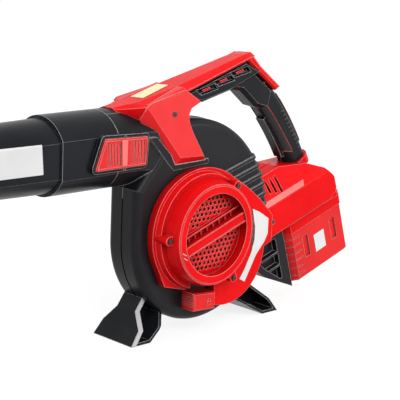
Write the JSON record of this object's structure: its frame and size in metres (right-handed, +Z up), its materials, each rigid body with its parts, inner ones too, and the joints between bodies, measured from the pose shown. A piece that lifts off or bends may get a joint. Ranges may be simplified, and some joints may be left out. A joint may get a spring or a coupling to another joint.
{
  "type": "leaf blower",
  "caption": "Hand-held battery leaf blower: scroll fan housing with side intake grille, flat-sided blow tube, arched handle with curved grip, splayed feet and a sliding battery pack.",
  "frame": {"origin": "on the floor under the middle of the whole tool", "axes": "+X to the rear along the tube, +Y to the motor side, +Z up"},
  "size_m": [1.0111, 0.1686, 0.3925],
  "materials": {
    "red_shell": "satin",
    "black_shell": "fine grain",
    "grip_rubber": "soft",
    "steel": "plain",
    "fan_plastic": "moulded",
    "motor_steel": "satin"
  },
  "bodies": {
    "housing": {"side_cover": "red_shell", "intake_ring": "red_shell", "handle_cap": "red_shell", "handle_leg_right": "red_shell", "handle_leg_left": "red_shell", "window_bars": "red_shell", "rear_housing_right": "red_shell", "rear_housing_left": "red_shell", "volute_right": "black_shell", "volute_left": "black_shell", "tube_collar": "black_shell", "blower_tube": "black_shell", "motor_cover": "black_shell", "handle_core_right": "black_shell", "handle_core_left": "black_shell", "battery_dock": "black_shell", "front_foot": "black_shell", "rear_foot": "black_shell", "latch_frame": "black_shell", "grip_pad_right": "grip_rubber", "grip_pad_left": "grip_rubber", "grip_back_pad": "grip_rubber", "trigger_pin": "steel", "latch_pin": "steel", "intake_screws": "steel", "handle_screws": "steel", "housing_screws": "steel", "motor_can": "motor_steel"},
    "fan": {"impeller": "fan_plastic", "motor_shaft": "steel", "fan_nut": "steel"},
    "trigger": {"trigger_paddle": "black_shell"},
    "latch": {"tube_latch": "red_shell"},
    "grille": {"intake_grille": "red_shell"},
    "tab": {"lock_tab": "red_shell"},
    "battery": {"battery_case": "red_shell", "battery_lid": "red_shell", "battery_inlay": "black_shell", "battery_rail": "black_shell"},
    "battery_release": {"battery_button": "black_shell"}
  },
  "joints": [
    {"name": "fan_spin", "type": "hinge", "parent": "housing", "child": "fan", "pos_m": [0.134, 0.011, 0.152], "axis": [0, 1, 0], "continuous": true},
    {"name": "trigger_pull", "type": "hinge", "parent": "housing", "child": "trigger", "pos_m": [0.35611, 0.011, 0.23371], "axis": [0, 1, 0], "range_deg": [0, 4], "stiffness_Nm_per_rad": 2, "springref_deg": -5.73},
    {"name": "latch_rock", "type": "hinge", "parent": "housing", "child": "latch", "pos_m": [-0.006, -0.0425, 0.278], "axis": [0, 0, 1], "range_deg": [0, 5], "stiffness_Nm_per_rad": 0.8, "springref_deg": -5.73},
    {"name": "grille_turn", "type": "hinge", "parent": "housing", "child": "grille", "pos_m": [0.134, -0.077, 0.152], "axis": [0, -1, 0], "range_deg": [0, 25]},
    {"name": "tab_slide", "type": "slide", "parent": "housing", "child": "tab", "axis": [1, 0, 0], "range_m": [0, 0.008], "stiffness_N_per_m": 400, "springref_m": -0.004},
    {"name": "battery_slide", "type": "slide", "parent": "housing", "child": "battery", "axis": [0.309, 0, -0.9511], "range_m": [0, 0.09]},
    {"name": "battery_release_press", "type": "slide", "parent": "battery", "child": "battery_release", "axis": [-0.9511, 0, -0.309], "range_m": [0, 0.0025], "stiffness_N_per_m": 600, "springref_m": -0.002}
  ]
}
